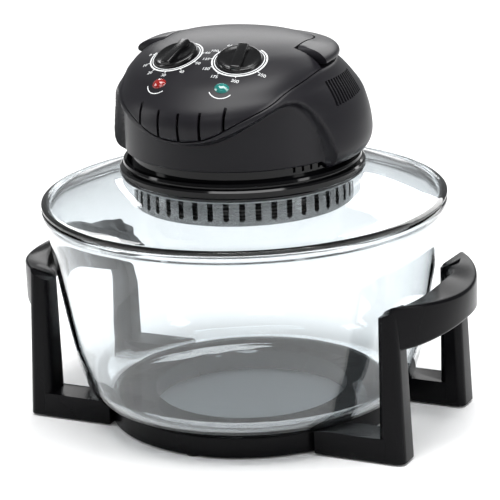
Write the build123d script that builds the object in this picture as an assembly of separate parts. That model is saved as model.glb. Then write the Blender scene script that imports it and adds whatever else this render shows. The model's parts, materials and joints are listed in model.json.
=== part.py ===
from build123d import *
from math import cos, radians, sin
import os

# A 12 litre halogen convection oven: glass bowl in a stand, glass lid, heater head.
# Millimetres, +Z up, front towards -Y, origin on the floor under the bowl's axis.

# Driving dimensions
FOOT = 2.0  # rubber feet lift the stand this much
RING_R = 116.5  # stand ring, outside
RING_INNER_R = 80.0
RING_TOP = 19.0
WALL = 2.5  # moulded plastic wall
FRAME_NEAR = 54.0  # side frame, from the middle plane to its near face
FRAME_FAR = 80.0
ARM_TOP = 21.5
POST_IN = 146.0  # post faces, from the middle plane
POST_OUT = 168.0
GRIP_CENTRE = 88.0  # the grip is an arc round this point
GRIP_R = 105.5
GRIP_THICK = 20.0
GRIP_LOW = 98.0
GRIP_HIGH = 133.0
GRIP_RIDGE = 173.5  # where the grip stands highest, from the middle plane
BOWL_CLEAR = 1.0
RIM_R = 165.0
GLASS = 4.0
LID_LOW = 183.3  # the lid's rim rests on the bowl's rim here
LID_HOLE_R = 90.5
FLANGE_R = 99.5
FLANGE_LOW = 208.4
DECK_LOW = 213.0
DECK_TOP = 216.0
COLLAR_R = 90.0
BODY_R = 94.0  # round front body under the control panel
BODY_LOW = 229.0
GUARD_R = 88.5
GUARD_LOW = 183.0
SLOT_COUNT = 44
SLOT_WIDE = 4.5
SLOT_SILL = 3.5  # sheet left below the slots
SHAFT_R = 4.0
RUN_FIT = 0.05  # radial running clearance
GAP = 0.3  # between moving pieces that do not bear on each other

# The head's skin: height, half width, reach to the front, reach to the rear
HEAD_SECTIONS = [
    (239.0, 104.0, 107.0, 112.0),
    (251.0, 102.0, 110.0, 114.5),
    (262.0, 99.0, 112.5, 114.0),
    (270.0, 96.0, 113.0, 112.0),
    (279.0, 91.5, 110.0, 104.0),
    (289.0, 85.5, 99.5, 92.0),
    (297.0, 81.5, 89.0, 78.0),
    (304.0, 77.0, 75.5, 67.0),
    (310.8, 68.0, 60.0, 57.0),
    (317.0, 51.0, 38.0, 41.0),
    (320.3, 27.0, 16.0, 21.0),
    (321.2, 10.0, 4.0, 8.0),
]
HEAD_FLARE = [(221.6, 91.0), (226.5, 100.0), (232.0, 103.5), (239.0, 104.0)]
HEAD_TOP = 321.2

# Seam between the control panel cover and the housing, as distance front to back and height
SEAM = [(-112, 256), (-104, 269), (-84.5, 281), (-63, 290), (-30, 297)]
# Arch under which the front body stands back from the side wings
ARCH = [(-112, 256), (-100, 270), (-88, 279), (-72, 284), (-62, 283), (-53, 277), (-40, 259), (-34, 240)]

# Carry handle, lying in a rebate round the back of the dome
REBATE_FLOOR = 298.5
REBATE_X = 57.0
REBATE_FRONT = -18.5
HANDLE_LOW = 300.0
HANDLE_HIGH = 315.0
HANDLE_PROUD = 2.0
PIVOT_Y = -8.0
PIVOT_Z = 307.5
PIN_R = 3.0

# Control panel
KNOB_X = 27.3
KNOB_Y = -55.0
KNOB_Z = 310.6
KNOB_TILT_BACK = 21.0
KNOB_TILT_SIDE = 8.5
KNOB_R = 18.0
TIMER_LEAN = 83.0  # turn of each bar from the X axis
THERMOSTAT_LEAN = 100.0
LENS_Y = -87.0
LENS_Z = 294.3
LENS_TILT_BACK = 34.0
STEM_R = 3.0

BIG = 400.0  # reach of the cutting blocks


def save(name, solid):
    solid.label = name
    export_step(solid, f"parts/{name}.step")


def turned(points):
    """Solid turned round the vertical axis from a closed outline of radius and height."""
    return revolve(Plane.XZ * make_face(Polyline(*points, close=True)), Axis.Z)


def turned_face(face):
    return revolve(Plane.XZ * face, Axis.Z)


def disc(radius, low, high, x=0.0, y=0.0):
    return extrude(Plane((x, y, low)) * Circle(radius), high - low)


def tube(outer, inner, low, high):
    return extrude(Plane((0, 0, low)) * (Circle(outer) - Circle(inner)), high - low)


def block(x0, x1, y0, y1, z0, z1):
    return Pos((x0 + x1) / 2, (y0 + y1) / 2, (z0 + z1) / 2) * Box(x1 - x0, y1 - y0, z1 - z0)


def side_prism(outline, half=BIG):
    """Prism along X from a closed outline of distance front to back and height."""
    return extrude(Plane.YZ * make_face(Polyline(*outline, close=True)), half, both=True)


def around(solid, count, start=0.0):
    return [Rot(0, 0, start + 360 * i / count) * solid for i in range(count)]


# ---------------------------------------------------------------- stand

def arms(inside, outside, low, high, near=FRAME_NEAR, far=FRAME_FAR):
    return block(inside, outside, near, far, low, high) + block(inside, outside, -far, -near, low, high)


LEGS = (("leg_front_left", -1, -1), ("leg_front_right", 1, -1), ("leg_rear_left", -1, 1), ("leg_rear_right", 1, 1))
ARM_IN = 92.0
GRIP_END = 70.0  # the grip runs out into the posts here
POST_ROUND = 6.5
POST_LEAN = 6.0  # the post's outer face leans in by this much
POST_TAPER = 3.0
SCREW_HOLE_R = 2.0
SCREW_X = 93.0
SCREW_Y = 58.0
TONGUE_IN = 87.0
TONGUE_NEAR = 53.0
TONGUE_FAR = 64.0
TONGUE_TOP = RING_TOP - WALL - 0.5
TONGUE_LOW = TONGUE_TOP - 6.0


def screw_places():
    return [(sx * SCREW_X, sy * SCREW_Y) for sx in (-1, 1) for sy in (-1, 1)]


def base_ring():
    shell = tube(RING_R, RING_INNER_R, FOOT, RING_TOP) - tube(RING_R - WALL, RING_INNER_R + WALL, FOOT, RING_TOP - WALL)
    for x, y in screw_places():
        boss = disc(4.5, TONGUE_TOP, RING_TOP - WALL, x, y)
        shell += boss
        shell -= disc(1.6, TONGUE_TOP, RING_TOP - 1.0, x, y)
    for y in (-RING_FOOT_R, RING_FOOT_R):
        shell += disc(FOOT_R, FOOT, RING_TOP - 1, 0, y)
    opening = arms(TONGUE_IN - 1, RING_R + 2, TONGUE_LOW - GAP, TONGUE_TOP, TONGUE_NEAR - GAP, TONGUE_FAR + GAP)
    shell -= opening + mirror(opening, Plane.YZ)
    edges = shell.edges().filter_by(GeomType.CIRCLE).group_by(Axis.Z)[-1]
    outer = [e for e in edges if e.radius > RING_R - 1]
    return fillet(outer, 1.5)


def bowl_outline(grow=0.0):
    """Outside of the bowl from the middle of its base to the rim, moved outwards by grow."""
    low = RING_TOP - grow
    corner = 28.0 + grow
    flat = 111.0
    base = Line((0, low), (flat, low))
    bend = CenterArc((flat, low + corner), corner, -90, 82)
    side = Spline(bend @ 1, (147 + grow, 74), (151.2 + grow, 100), (155.2 + grow, 127), (159.8 + grow, 158),
                  (161.5 + grow, 172), tangents=[bend % 1, (0.12, 1)])
    return base, bend, side


def bowl_space(grow):
    base, bend, side = bowl_outline(grow)
    top = Line(side @ 1, (0, (side @ 1).Y))
    shut = Line((0, (side @ 1).Y), base @ 0)
    return turned_face(make_face([base, bend, side, top, shut]))


def glass_bowl():
    solid = bowl_space(0) - Pos(0, 0, 0.6) * bowl_space(-GLASS)
    rim = turned([(157.5, 171.8), (161.4, 171.8), (162.2, 176.5), (164.2, 178.4), (RIM_R, 180),
                  (RIM_R, 181.8), (164, LID_LOW), (158.3, LID_LOW), (157.5, 182.3)])
    return solid + rim


def leg(side_x, side_y, keep_out):
    """Foot bar and post of one leg, with the tongue that is screwed under the ring."""
    bar = block(ARM_IN, POST_IN + 6, FRAME_NEAR, FRAME_FAR, FOOT, ARM_TOP) - disc(RING_R, 0, 60)
    middle_x = (POST_IN + POST_OUT) / 2
    middle_y = (FRAME_NEAR + FRAME_FAR) / 2
    wide = POST_OUT - POST_IN
    deep = FRAME_FAR - FRAME_NEAR
    foot = Plane((middle_x, middle_y, FOOT)) * RectangleRounded(wide, deep, POST_ROUND)
    head = Plane((middle_x - POST_LEAN / 2, middle_y, GRIP_HIGH)) * \
        RectangleRounded(wide - POST_LEAN, deep - POST_TAPER, POST_ROUND)
    tongue = block(TONGUE_IN, RING_R + 3, TONGUE_NEAR, TONGUE_FAR, TONGUE_LOW, TONGUE_TOP)
    solid = bar + loft([foot, head]) + tongue
    solid -= grip_top_cut()
    solid -= disc(SCREW_HOLE_R, 0, TONGUE_TOP, SCREW_X, SCREW_Y)
    solid -= keep_out
    if side_x < 0:
        solid = mirror(solid, Plane.YZ)
    if side_y < 0:
        solid = mirror(solid, Plane.XZ)
    return solid


def grip_top_cut():
    """Everything above the top of posts and grip, which rises to a ridge and falls away outside it."""
    slope = Polyline((100, 119), (POST_IN, 119), (GRIP_RIDGE, GRIP_HIGH), (200, 121), (200, 200), (100, 200), close=True)
    return extrude(Plane.XZ * make_face(slope), 120, both=True)


def side_grip(side, keep_out, legs):
    plan = Pos(GRIP_CENTRE, 0) * (Circle(GRIP_R) - Circle(GRIP_R - GRIP_THICK))
    plan &= Pos(POST_IN + 54, 0) * Rectangle(100, 2 * GRIP_END)
    grip = extrude(Plane((0, 0, GRIP_LOW)) * plan, GRIP_HIGH - GRIP_LOW)
    grip -= grip_top_cut()
    grip -= keep_out
    for post in legs:
        grip -= post
    grip = max(grip.solids(), key=lambda s: s.volume)
    return grip if side > 0 else mirror(grip, Plane.YZ)


FOOT_R = 6.0
FOOT_X = 157.0
FOOT_Y = 67.0
RING_FOOT_R = 109.5


def rubber_feet():
    spots = [(sx * FOOT_X, sy * FOOT_Y) for sx in (-1, 1) for sy in (-1, 1)]
    spots += [(0, RING_FOOT_R), (0, -RING_FOOT_R)]
    return Compound(children=[disc(FOOT_R, 0, FOOT, x, y) for x, y in spots])


def pan_screw(x, y, low, high, shank=1.6, head_r=3.5, head_h=2.2):
    """Pan head screw pointing up, its head's seat at low and its tip at high."""
    return disc(shank, low, high, x, y) + disc(head_r, low - head_h, low, x, y)


def stand_screws():
    return Compound(children=[pan_screw(x, y, TONGUE_LOW, RING_TOP - 1.0) for x, y in screw_places()])


# ---------------------------------------------------------------- lid and guard

def glass_lid():
    top = Spline((163, 187.6), (156, 188.2), (130, 198.0), (LID_HOLE_R, FLANGE_LOW - 1),
                 tangents=[(-1, 0.35), (-1, 0.05)])
    under = Spline((LID_HOLE_R, FLANGE_LOW - 1 - GLASS), (128, 194.2), (156.5, 184.2),
                   tangents=[(1, -0.05), (1, -0.2)])
    outline = [
        top,
        Line((LID_HOLE_R, FLANGE_LOW - 1), (LID_HOLE_R, FLANGE_LOW - 1 - GLASS)),
        under,
        Polyline((156.5, 184.2), (157, LID_LOW), (164, LID_LOW), (RIM_R, 184.6), (RIM_R, 186.2), (163, 187.6)),
    ]
    return turned_face(make_face(outline))


def lid_gasket():
    return tube(98.0, 91.0, FLANGE_LOW - 1, FLANGE_LOW)


def clamp_ring():
    """Steel ring under the glass that holds the lid up against the head."""
    return tube(94.5, GUARD_R, FLANGE_LOW - 2 - GLASS - 0.4, FLANGE_LOW - 1 - GLASS - 0.4)


def heat_guard():
    guard = tube(GUARD_R, GUARD_R - 0.8, GUARD_LOW, DECK_LOW)
    guard += tube(GUARD_R, GUARD_R - 6, GUARD_LOW, GUARD_LOW + 0.8)
    guard += tube(GUARD_R, GUARD_R - 2, DECK_LOW - 0.8, DECK_LOW)
    low = GUARD_LOW + SLOT_SILL
    high = FLANGE_LOW - 2
    slot = Plane((GUARD_R, 0, (low + high) / 2), x_dir=(0, 0, 1), z_dir=(1, 0, 0)) * SlotOverall(high - low, SLOT_WIDE)
    cutter = extrude(slot, 3, both=True)
    return guard - around(cutter, SLOT_COUNT)


def guard_grille():
    plate = disc(GUARD_R - 1.0, GUARD_LOW + 0.8, GUARD_LOW + 1.8)
    for radius, count, length in ((24, 6, 15), (40, 10, 17), (56, 14, 17), (72, 18, 17)):
        slot = extrude(Plane((radius, 0, GUARD_LOW)) * Rot(0, 0, 90) * SlotOverall(length, 5), 4)
        plate -= around(slot, count)
    return plate


def louvre_stack():
    """Dark rings behind the guard's slots, tied by four posts."""
    rings = [tube(85.0, 80.0, z, z + 1.3) for z in (187.0 + 2.8 * i for i in range(8))]
    post = block(81, 84, -2, 2, 187.0, DECK_LOW - 5)
    stack = rings[0]
    for piece in rings[1:] + around(post, 4, 45):
        stack += piece
    return stack


def reflector_plate():
    plate = disc(78, 205.4, 206.4) + tube(78, 77, 201, 206.4)
    plate -= disc(9, 200, 210)
    for x, y in lamp_ends():
        plate -= disc(5.2, 200, 210, x, y)
    return plate


def insulation_plate():
    plate = disc(76, 209.5, DECK_LOW) - disc(10.5, 205, 220)
    for x, y in lamp_ends():
        plate -= disc(5.2, 200, 220, x, y)
    for x, y in bracket_screw_places():
        plate -= disc(4.5, 200, 220, x, y)
    return plate


LAMP_R = 64.0
LAMP_TUBE = 4.5
LAMP_Z = 191.0
LAMP_OPEN = 14.0  # half the gap between the lamp's ends, degrees


def lamp_ends():
    return [(LAMP_R * cos(radians(90 + s * LAMP_OPEN)), LAMP_R * sin(radians(90 + s * LAMP_OPEN))) for s in (-1, 1)]


def halogen_lamp():
    path = CenterArc((0, 0, LAMP_Z), LAMP_R, 90 + LAMP_OPEN, 360 - 2 * LAMP_OPEN)
    section = Plane(path @ 0, z_dir=path % 0) * Circle(LAMP_TUBE)
    lamp = sweep(section, path)
    for x, y in lamp_ends():
        lamp += disc(LAMP_TUBE, LAMP_Z - LAMP_TUBE + 0.5, 199, x, y)
    return lamp


def lamp_holders():
    return Compound(children=[disc(4.8, 199, 216, x, y) + disc(6.5, 216.0, 219, x, y) for x, y in lamp_ends()])


# ---------------------------------------------------------------- head structure

def head_base():
    """Glossy flange that grips the lid, with the motor deck across it."""
    rim = [(91, FLANGE_LOW), (98.0, FLANGE_LOW), (FLANGE_R, 210.0), (FLANGE_R, 214.2), (98.2, 215.6), (95.2, 216.4),
           (95.2, 217.6), (96.6, 218.4), (96.2, 220.4), (93.5, 221.2), (COLLAR_R + 0.2, 221.2), (COLLAR_R - 2.3, 221.2),
           (COLLAR_R - 2.3, DECK_TOP), (14, DECK_TOP), (14, DECK_LOW), (91, DECK_LOW)]
    base = turned(rim)
    base -= disc(10.0, 200, 230)
    for x, y in lamp_ends():
        base -= disc(5.2, 200, 230, x, y)
    slot = extrude(Plane((34, 0, DECK_LOW)) * SlotOverall(20, 4), 6)
    base -= around(slot, 12, 15)
    for x, y in bracket_screw_places() + PILLARS:
        base -= disc(1.6, 200, 230, x, y)
    return base


BRACKET_R = 54.0
BRACKET_ANGLES = (35, 145, 215, 325)


def bracket_screw_places():
    return [(BRACKET_R * cos(radians(a)), BRACKET_R * sin(radians(a))) for a in BRACKET_ANGLES]


def vent_collar():
    collar = tube(COLLAR_R, COLLAR_R - 2.3, 221.2, 240) + tube(BODY_R - WALL - 0.1, COLLAR_R - 2.3, 238, 240)
    slot = block(COLLAR_R - 4, COLLAR_R + 2, -1.1, 1.1, 224, 236)
    for first in (-38, 38 + 90):
        collar -= [Rot(0, 0, first + 5 * i) * slot for i in range(16)]
    return collar


def shaft_bushing():
    return tube(9.9, SHAFT_R + RUN_FIT, DECK_LOW, DECK_TOP + 1)


# ---------------------------------------------------------------- head shells

def head_form(grow=0.0):
    """The head's skin moved outwards by grow, as one closed form."""
    flare = [Plane((0, 0, z)) * Circle(radius + grow) for z, radius in HEAD_FLARE[:-1]]
    sections = []
    for z, half, front, rear in HEAD_SECTIONS:
        lift = grow * (z - HEAD_SECTIONS[0][0]) / (HEAD_TOP - HEAD_SECTIONS[0][0])
        centre = (rear - front) / 2
        sections.append(Plane((0, centre, z + lift)) * Ellipse(half + grow, (front + rear) / 2 + grow))
    return loft(flare + sections[:1], ruled=True) + loft(sections)


def turret_plan(inset):
    """Plan of the dome's middle, inside the handle's rebate."""
    half = REBATE_X - inset
    flat = Rectangle(2 * half, 130, align=(Align.CENTER, Align.MAX))
    return Pos(0, 12) * flat + Pos(0, 12) * Ellipse(half, 46 - inset)


def rebate(inset=0.0):
    """Space for the carry handle round the dome, deeper by inset for the wall behind it."""
    low = REBATE_FLOOR - inset
    front = REBATE_FRONT - inset
    ring = block(-150, 150, front, 150, low, 360)
    return ring - extrude(Plane((0, 0, low - 10)) * turret_plan(inset), 120)


def front_recess(inset=0.0):
    """Space under the panel's nose, in front of the round body and between the wings."""
    outline = [(y - inset * 0.5, z + inset) for y, z in ARCH]
    last_y, last_z = ARCH[-1]
    outline[-1] = (last_y + inset, last_z)
    outline[-2] = (ARCH[-2][0] + inset, ARCH[-2][1] + inset * 0.3)
    outline[-3] = (ARCH[-3][0] + inset, ARCH[-3][1] + inset * 0.6)
    outline += [(last_y + 2 + inset, 200), (-160, 200), (-160, 250 + inset)]
    return side_prism(outline) - disc(BODY_R - inset, 190, 330)


def above_seam(shift):
    outline = [(-160, SEAM[0][1] - 6 + shift)] + [(y, z + shift) for y, z in SEAM]
    outline += [(REBATE_FRONT - WALL - 1, REBATE_FLOOR + shift), (160, REBATE_FLOOR + shift), (160, 400), (-160, 400)]
    return side_prism(outline)


def head_skin():
    outer = head_form() - rebate() - front_recess()
    inner = head_form(-WALL) - rebate(WALL) - front_recess(WALL)
    skin = outer - inner - disc(COLLAR_R + 0.4, 200, 237)
    return skin - block(-120, 120, -160, -30, 200, BODY_LOW)


PILLARS = [(-66.0, 46.0), (66.0, 46.0), (-67.0, -48.0), (67.0, -48.0)]
PILLAR_R = 4.0


def pillars(places):
    """Screw pillars from the deck up into the skin."""
    inside = head_form(-WALL / 2) - rebate(WALL / 2)
    return [disc(PILLAR_R, DECK_TOP, 320, x, y) & inside for x, y in places]


def pillar_bore(x, y):
    return disc(1.4, DECK_TOP - 1, DECK_TOP + 9, x, y)


def knob_frame(side, lift=0.0):
    """Placement on the panel: local Z along a knob's axis, lift above the skin."""
    place = Location((side * KNOB_X, KNOB_Y, KNOB_Z))
    return place * Rot(KNOB_TILT_BACK, side * KNOB_TILT_SIDE, 0) * Pos(0, 0, lift)


def lens_frame(side, lift=0.0):
    place = Location((side * 26.8, LENS_Y, LENS_Z))
    return place * Rot(LENS_TILT_BACK, side * 10, 0) * Pos(0, 0, lift)


def top_cover(skin):
    cover = skin & above_seam(0.15)
    core = head_form(-WALL - GAP)
    for pillar in pillars(PILLARS[2:]):
        cover += (pillar & core) + (pillar & above_seam(0.15))
    for x, y in PILLARS[2:]:
        cover -= pillar_bore(x, y)
    for side in (-1, 1):
        cover -= knob_frame(side, -15) * Cylinder(STEM_R + 1.5, 40)
        cover -= lens_frame(side, -8) * extrude(Ellipse(5.6, 4.6), 20)
    for x, front, low, high in ((-37.5, -104, 267, 285), (-18, -109.8, 259, 279.4), (0, -111.2, 257.5, 278),
                                (18, -109.8, 259, 279.4), (37.5, -104, 267, 285)):
        cover -= block(x - 0.8, x + 0.8, front - 12, front, low, high)
    cover -= pin_bore()
    return max(cover.solids(), key=lambda s: s.volume)


def pin_bore():
    return Pos(0, PIVOT_Y, PIVOT_Z) * Rot(0, 90, 0) * Cylinder(PIN_R, 2 * (REBATE_X + 9))


VENT_COUNT = 12
VENT_PITCH = 4.6
VENT_FIRST = -21.0
VENT_HALF = 1.3  # half the width of one louvre slot
VENT_LOW = 272.0
VENT_HIGH = 291.0


def upper_housing(skin):
    housing = skin - above_seam(-0.15)
    for pillar in pillars(PILLARS[:2]):
        housing += pillar
    for x, y in PILLARS[:2]:
        housing -= pillar_bore(x, y)
    for i in range(VENT_COUNT):
        y = VENT_FIRST + VENT_PITCH * i
        housing -= block(-120, 120, y - VENT_HALF, y + VENT_HALF, VENT_LOW + 0.06 * i, VENT_HIGH - 0.15 * i)
    housing -= disc(2.4, 290, 305, *PLUNGER)
    housing -= Pos(0, GLAND_Y, GLAND_Z) * Rot(90, 0, 0) * Cylinder(6.0, 60)
    return max(housing.solids(), key=lambda s: s.volume)


PLUNGER = (-68.0, 14.0)
GLAND_Z = 246.0
GLAND_Y = 113.5  # middle of the bush that lies in the housing's back wall


def carry_handle():
    """Horseshoe bail that lies in the rebate; its round front ends turn on the pins."""
    band = head_form(HANDLE_PROUD) & block(-150, 150, PIVOT_Y, 150, HANDLE_LOW, HANDLE_HIGH)
    ends = Pos(0, PIVOT_Y, PIVOT_Z) * Rot(0, 90, 0) * Cylinder((HANDLE_HIGH - HANDLE_LOW) / 2, 240)
    ends &= head_form(HANDLE_PROUD)
    handle = band + ends
    handle -= extrude(Plane((0, 0, 280)) * turret_plan(-1.0), 120)
    handle -= Pos(0, PIVOT_Y, PIVOT_Z) * Rot(0, 90, 0) * Cylinder(PIN_R + RUN_FIT, 2 * (REBATE_X + 9.3))
    return max(handle.solids(), key=lambda s: s.volume)


def handle_pins():
    pins = []
    for side in (-1, 1):
        pin = Pos(side * (REBATE_X + 2.5), PIVOT_Y, PIVOT_Z) * Rot(0, 90, 0) * Cylinder(PIN_R, 12)
        pins.append(pin)
    return Compound(children=pins)


# ---------------------------------------------------------------- controls

SKIRT_HIGH = 2.2
CAP_R = 13.5
BAR_WIDE = 8.5
BAR_HIGH = 5.6


def knob(side, lean):
    """Knob in its own frame: skirt, domed cap and a wedge bar with a blunt pointer end."""
    skirt = extrude(Circle(KNOB_R), SKIRT_HIGH, taper=8)
    cap = extrude(Plane((0, 0, SKIRT_HIGH)) * Circle(CAP_R), 0.8, taper=30)
    bar = extrude(Plane((0, 0, SKIRT_HIGH - 0.5)) * SlotOverall(2 * KNOB_R - 3.5, BAR_WIDE), BAR_HIGH - SKIRT_HIGH + 0.5, taper=7)
    bar = fillet(bar.faces().sort_by(Axis.Z)[-1].edges(), 1.2)
    stem = extrude(Plane((0, 0, -15)) * Circle(STEM_R), 16)
    body = skirt + cap + bar + stem
    return knob_frame(side, 0.6) * Rot(0, 0, lean) * body


def timer_body():
    case = Pos(0, 0, -24) * Box(36, 36, 22) + Pos(0, 0, -12) * Cylinder(6, 3)
    case -= Pos(0, 0, -14) * Cylinder(STEM_R + RUN_FIT, 12)
    return knob_frame(-1, 0) * case


def thermostat_body():
    case = Pos(0, 0, -24) * Cylinder(15, 20) + Pos(0, 0, -12.5) * Cylinder(6, 3.5)
    case -= Pos(0, 0, -14) * Cylinder(STEM_R + RUN_FIT, 12)
    tabs = Pos(0, 0, -34.4) * Box(22, 6, 1)
    return knob_frame(1, 0) * (case + tabs)


def lens(side):
    dome = extrude(Plane((0, 0, 0.8)) * Ellipse(6.6, 5.4), 2.2, taper=35)
    stem = extrude(Plane((0, 0, -5)) * Ellipse(5.4, 4.4), 6)
    return lens_frame(side, 0) * (dome + stem)


def neon_lamps():
    return Compound(children=[lens_frame(s, -10.5) * Cylinder(3, 9) for s in (-1, 1)])


# ---------------------------------------------------------------- works inside the head

def motor_shaft():
    shaft = disc(SHAFT_R, 193.5, 262)
    return shaft - tube(SHAFT_R + 1, SHAFT_R - 0.6, 218.6, 219.2)


def fan(radius, hub_r, low, high, blades, pitch, bore):
    hub = tube(hub_r, bore, low, high)
    blade = Pos((radius + hub_r) / 2 - 0.5, 0, (low + high) / 2) * Rot(pitch, 0, 0) * \
        Box(radius - hub_r + 1, 0.9 * (high - low) / sin(radians(pitch)), 1.0)
    blade &= tube(radius, hub_r - 1, low, high)
    for piece in around(blade, blades):
        hub += piece
    return hub


def hot_air_fan():
    return fan(52, 9, 195.2, 203.0, 8, 38, SHAFT_R)


def cooling_fan():
    return fan(44, 9, 220.0, 229.5, 9, 35, SHAFT_R)


def motor_rotor():
    return tube(14.5, SHAFT_R, 236, 254)


def motor_core():
    stack = block(-26, 26, -24, 40, 237, 253) - disc(15.0, 230, 260)
    return stack - block(-11, 11, 20.5, 30, 230, 260)


def motor_coil():
    """Winding on a bobbin round the core's rear bar, flat below so that it clears the fan."""
    coil = block(-10, 10, 30.0, 47, 234.0, 256.0) - block(-26, 26, 30.0, 40.0, 237, 253)
    coil += block(-10, 10, 22.5, 30.0, 234.0, 256.0) - block(-11, 11, 20, 30.0, 237, 253)
    return coil


def motor_bracket():
    bridge = disc(34, 256.4, 258.4) + disc(8, 258.4, 263)
    bridge -= disc(SHAFT_R + RUN_FIT, 240, 270)
    for angle in BRACKET_ANGLES:
        bridge += Rot(0, 0, angle) * block(30, BRACKET_R, -4.5, 4.5, 256.4, 258.4)
    for x, y in bracket_screw_places():
        bridge += disc(4, DECK_TOP, 258.4, x, y)
        bridge -= disc(1.6, DECK_TOP - 1, DECK_TOP + 8, x, y)
    bridge -= disc(SHAFT_R + RUN_FIT, 240, 270)
    for x, y in core_screw_places():
        bridge += disc(4, 253, 256.4, x, y)
        bridge -= disc(1.6, 250, 259, x, y)
    return bridge - block(-12, 12, 20.0, 48, 250, 262)


def core_screw_places():
    return [(-20, -18), (20, -18)]


def housing_screws():
    return Compound(children=[pan_screw(x, y, DECK_LOW, DECK_TOP + 8, shank=1.4, head_h=1.8) for x, y in PILLARS])


def bracket_screws():
    return Compound(children=[pan_screw(x, y, DECK_LOW, DECK_TOP + 7, head_h=1.8) for x, y in bracket_screw_places()])


def terminal_block():
    block_body = block(-16, 16, 62, 72, 232, 242)
    for x in (-10, 0, 10):
        block_body -= disc(2, 238, 250, x, 67)
    return block_body


def cord_gland():
    """Strain relief bush in the housing's back, its bore ready for a lead."""
    bush = Pos(0, GLAND_Y, GLAND_Z) * Rot(90, 0, 0) * Cylinder(5.95, 9)
    collar = Pos(0, GLAND_Y + 5.8, GLAND_Z) * Rot(90, 0, 0) * Cylinder(8, 2.6)
    bore = Pos(0, GLAND_Y, GLAND_Z) * Rot(90, 0, 0) * Cylinder(3.4, 40)
    return bush + collar - bore


def thermal_cutout():
    return disc(8, DECK_TOP, DECK_TOP + 4, -66, -20) + block(-72, -60, -22, -18, DECK_TOP + 4, DECK_TOP + 9)


def safety_switch():
    x, y = PLUNGER
    case = block(x - 4, x + 4, y - 10, y + 10, 281, 291)
    return case - disc(2.1, 285, 292, x, y)


def switch_plunger():
    x, y = PLUNGER
    return disc(2.0, 286.5, HANDLE_LOW - GAP, x, y)


def main():
    os.makedirs("parts", exist_ok=True)
    keep_out = bowl_space(BOWL_CLEAR)
    save("base_ring", base_ring())
    for name, side_x, side_y in LEGS:
        save(name, leg(side_x, side_y, keep_out))
    right_legs = [leg(1, 1, keep_out), leg(1, -1, keep_out)]
    save("side_grip_right", side_grip(1, keep_out, right_legs))
    save("side_grip_left", side_grip(-1, keep_out, right_legs))
    save("rubber_feet", rubber_feet())
    save("stand_screws", stand_screws())
    save("glass_bowl", glass_bowl())
    save("glass_lid", glass_lid())
    save("lid_gasket", lid_gasket())
    save("clamp_ring", clamp_ring())
    save("heat_guard", heat_guard())
    save("guard_grille", guard_grille())
    save("louvre_stack", louvre_stack())
    save("reflector_plate", reflector_plate())
    save("insulation_plate", insulation_plate())
    save("halogen_lamp", halogen_lamp())
    save("lamp_holders", lamp_holders())
    save("head_base", head_base())
    save("vent_collar", vent_collar())
    save("shaft_bushing", shaft_bushing())
    skin = head_skin()
    save("top_cover", top_cover(skin))
    save("upper_housing", upper_housing(skin))
    save("carry_handle", carry_handle())
    save("handle_pins", handle_pins())
    save("timer_knob", knob(-1, TIMER_LEAN))
    save("thermostat_knob", knob(1, THERMOSTAT_LEAN))
    save("timer_body", timer_body())
    save("thermostat_body", thermostat_body())
    save("red_lens", lens(-1))
    save("green_lens", lens(1))
    save("neon_lamps", neon_lamps())
    save("motor_shaft", motor_shaft())
    save("hot_air_fan", hot_air_fan())
    save("cooling_fan", cooling_fan())
    save("motor_rotor", motor_rotor())
    save("motor_core", motor_core())
    save("motor_coil", motor_coil())
    save("motor_bracket", motor_bracket())
    save("bracket_screws", bracket_screws())
    save("housing_screws", housing_screws())
    save("terminal_block", terminal_block())
    save("cord_gland", cord_gland())
    save("thermal_cutout", thermal_cutout())
    save("safety_switch", safety_switch())
    save("switch_plunger", switch_plunger())


main()
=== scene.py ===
import json
from math import atan2, cos, pi, radians, sin, sqrt

import bmesh
import bpy
import numpy as np
from mathutils import Matrix, Vector

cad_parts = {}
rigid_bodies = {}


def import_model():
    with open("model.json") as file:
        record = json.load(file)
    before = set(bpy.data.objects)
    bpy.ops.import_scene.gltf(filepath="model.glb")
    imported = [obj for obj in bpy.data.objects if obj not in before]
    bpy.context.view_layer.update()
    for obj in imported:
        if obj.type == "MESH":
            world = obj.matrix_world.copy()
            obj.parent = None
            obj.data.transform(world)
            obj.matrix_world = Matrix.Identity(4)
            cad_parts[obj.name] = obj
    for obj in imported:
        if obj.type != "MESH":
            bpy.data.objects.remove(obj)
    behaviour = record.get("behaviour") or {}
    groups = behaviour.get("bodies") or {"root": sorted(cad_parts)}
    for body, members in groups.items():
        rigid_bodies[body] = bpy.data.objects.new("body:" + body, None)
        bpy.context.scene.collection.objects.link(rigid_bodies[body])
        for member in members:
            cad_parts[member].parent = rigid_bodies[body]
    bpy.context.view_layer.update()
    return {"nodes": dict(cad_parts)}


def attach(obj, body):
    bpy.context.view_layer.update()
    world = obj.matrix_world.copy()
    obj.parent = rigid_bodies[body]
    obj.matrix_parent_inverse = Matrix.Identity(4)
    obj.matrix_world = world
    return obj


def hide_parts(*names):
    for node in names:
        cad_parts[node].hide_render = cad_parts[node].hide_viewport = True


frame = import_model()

mm = 0.001
scene = bpy.context.scene
scene.view_settings.view_transform = "Standard"
nodes = frame["nodes"]


camera = {
    "aim": (0.0, 0.0, 0.1316),
    "right": 0.0028,  # shift of the aim along the picture's own axes
    "up": 0.0056,
    "distance": 1.968,
    "azimuth": 25.8,
    "elevation": 17.36,
    "roll": -2.21,
    "lens": 172.8,
}


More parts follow.
